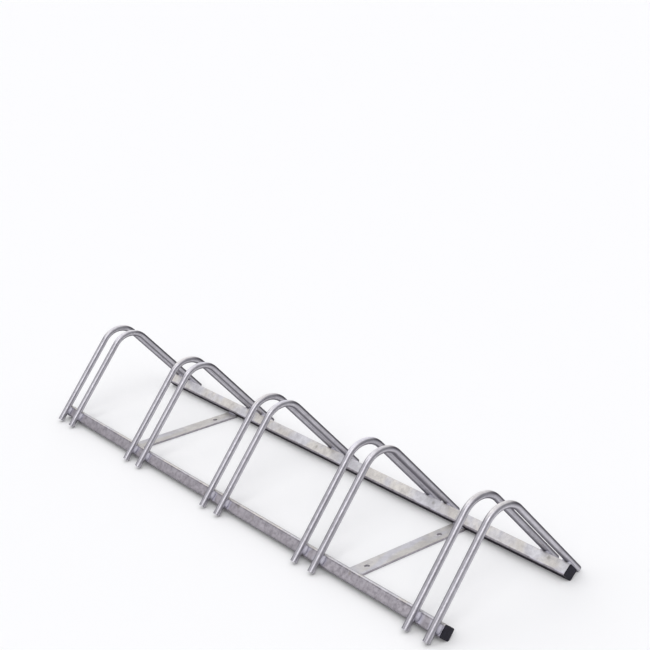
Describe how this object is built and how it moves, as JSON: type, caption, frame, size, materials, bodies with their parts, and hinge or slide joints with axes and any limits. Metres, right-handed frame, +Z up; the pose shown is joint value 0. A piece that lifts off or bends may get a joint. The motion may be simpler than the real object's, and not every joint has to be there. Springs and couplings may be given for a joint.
{
  "type": "floor bike rack",
  "caption": "Low floor rack that holds bicycles by one wheel between pairs of bent tube hoops welded over two square rails.",
  "frame": {"origin": "on the floor, under the middle of the rack", "axes": "+X along the rails, +Y across them, +Z up"},
  "size_m": [1.578, 0.4276, 0.23],
  "materials": {
    "hoop_tube": "hot-dip galvanised round steel tube, smooth and softly shiny",
    "rail_tube": "hot-dip galvanised square steel tube, mottled zinc",
    "flat_bar": "hot-dip galvanised flat steel, pale and mottled",
    "weld": "weld bead under a smooth bright zinc coat",
    "end_cap": "moulded black polyethylene, satin"
  },
  "bodies": {
    "root": {"hoop_1_left": "hoop_tube", "hoop_1_right": "hoop_tube", "hoop_2_left": "hoop_tube", "hoop_2_right": "hoop_tube", "hoop_3_left": "hoop_tube", "hoop_3_right": "hoop_tube", "hoop_4_left": "hoop_tube", "hoop_4_right": "hoop_tube", "hoop_5_left": "hoop_tube", "hoop_5_right": "hoop_tube", "rail_front": "rail_tube", "rail_rear": "rail_tube", "cross_bar_left": "flat_bar", "cross_bar_right": "flat_bar", "end_cap_front_left": "end_cap", "end_cap_front_right": "end_cap", "end_cap_rear_left": "end_cap", "end_cap_rear_right": "end_cap", "welds_front_rail": "weld", "welds_rear_rail": "weld", "welds_cross_bars": "weld"}
  },
  "joints": []
}
